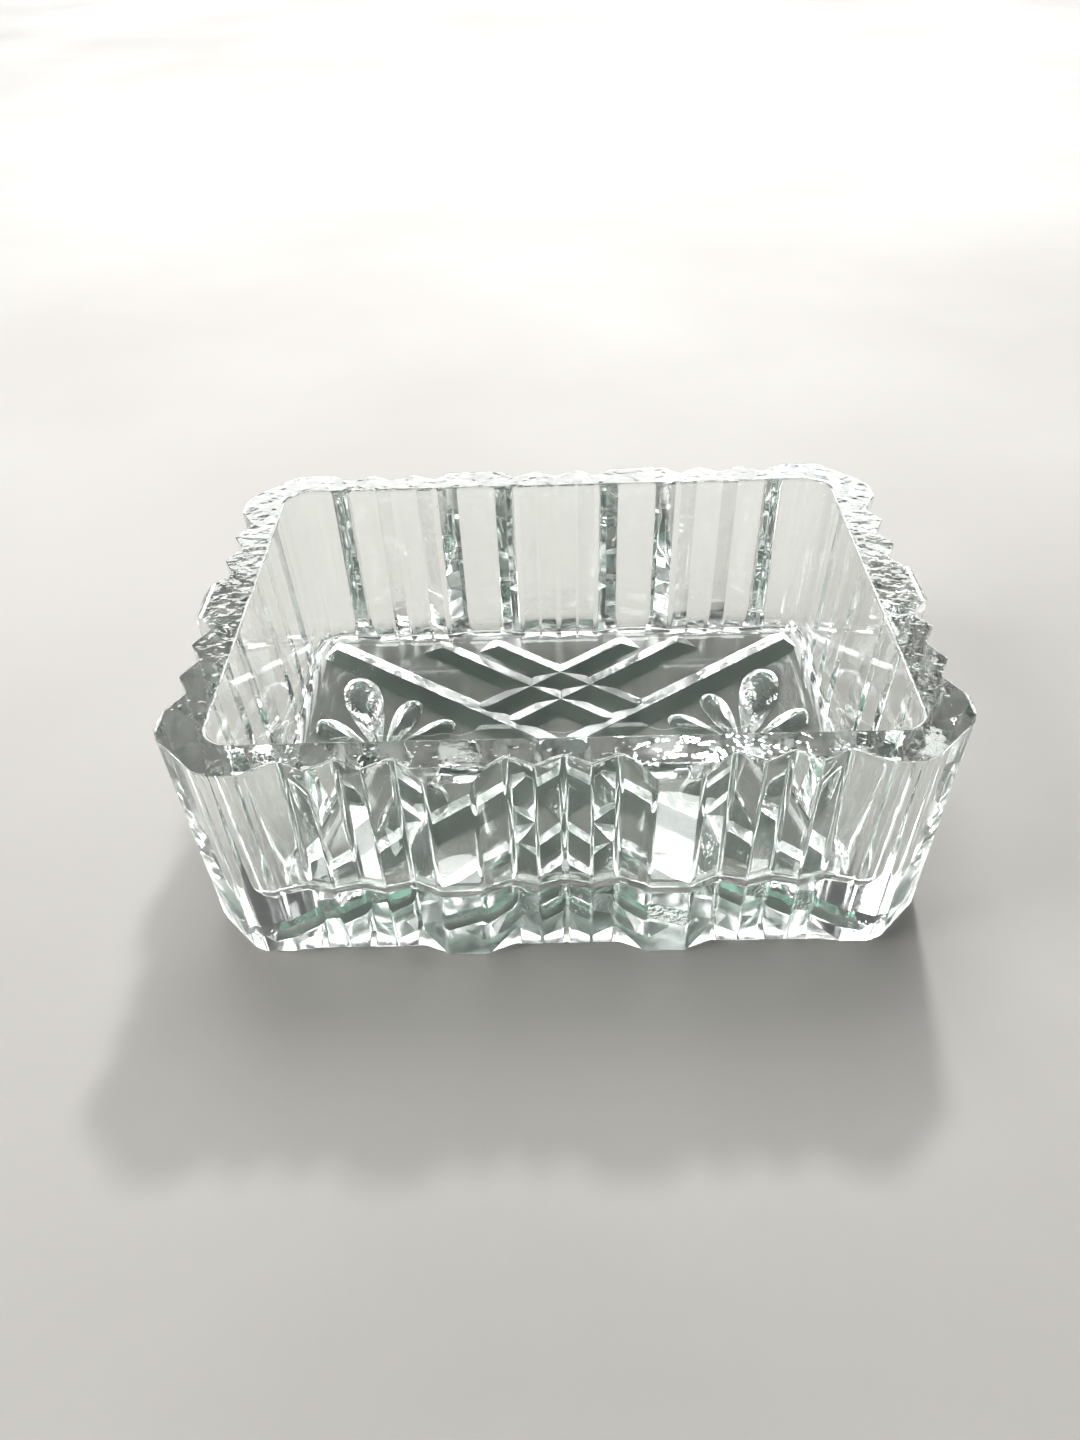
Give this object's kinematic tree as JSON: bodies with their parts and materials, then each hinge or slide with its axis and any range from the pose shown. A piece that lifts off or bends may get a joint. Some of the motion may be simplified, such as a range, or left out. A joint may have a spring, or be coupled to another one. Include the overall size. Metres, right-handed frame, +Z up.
{
  "type": "dappen dish",
  "caption": "Open rectangular pressed-glass dish with prism-fluted walls, wide chamfered corners, a flat rim, a smooth cup and a star-and-flower cut underside; holds small amounts of liquid.",
  "frame": {"origin": "middle of the underside, on the surface that the dish stands on", "axes": "+X along the long side, +Y along the short side, +Z up through the open cup"},
  "size_m": [0.0928, 0.0662, 0.0317],
  "materials": {
    "crystal_glass": "clear pressed soda-lime glass, fire polished, with a faint grey-green tint where it is thick"
  },
  "bodies": {
    "root": {"glass_dish": "crystal_glass"}
  },
  "joints": []
}
